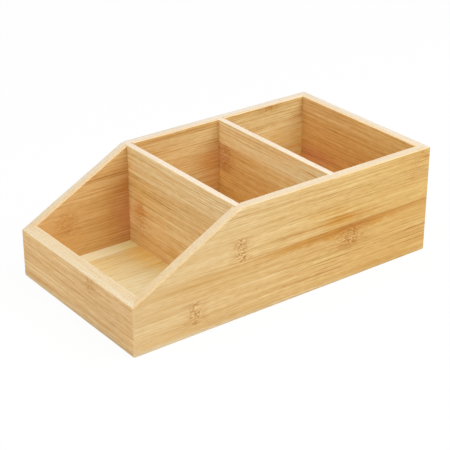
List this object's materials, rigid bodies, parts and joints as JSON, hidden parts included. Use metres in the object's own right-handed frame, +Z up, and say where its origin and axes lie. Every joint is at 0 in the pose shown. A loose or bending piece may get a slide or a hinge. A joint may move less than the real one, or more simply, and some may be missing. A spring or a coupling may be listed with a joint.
{
  "type": "coffee station organizer",
  "caption": "Open bamboo box for coffee and tea supplies, with a low front, sides that slope down to it, and full-height dividers across the inside.",
  "frame": {"origin": "centre of the footprint, on the surface that the box stands on", "axes": "+X across the width to the right side board, +Y along the length from the low front board to the back board, +Z up"},
  "size_m": [0.168, 0.305, 0.097],
  "materials": {
    "front_panel": "clear satin lacquer on sanded bamboo",
    "back_panel": "clear satin lacquer on sanded bamboo",
    "left_side_panel": "clear satin lacquer on sanded bamboo",
    "right_side_panel": "clear satin lacquer on sanded bamboo",
    "front_divider": "clear satin lacquer on sanded bamboo",
    "rear_divider": "clear satin lacquer on sanded bamboo",
    "base_panel": "clear satin lacquer on sanded bamboo"
  },
  "bodies": {
    "root": {"front_panel": "front_panel", "back_panel": "back_panel", "left_side_panel": "left_side_panel", "right_side_panel": "right_side_panel", "front_divider": "front_divider", "rear_divider": "rear_divider", "base_panel": "base_panel"}
  },
  "joints": []
}
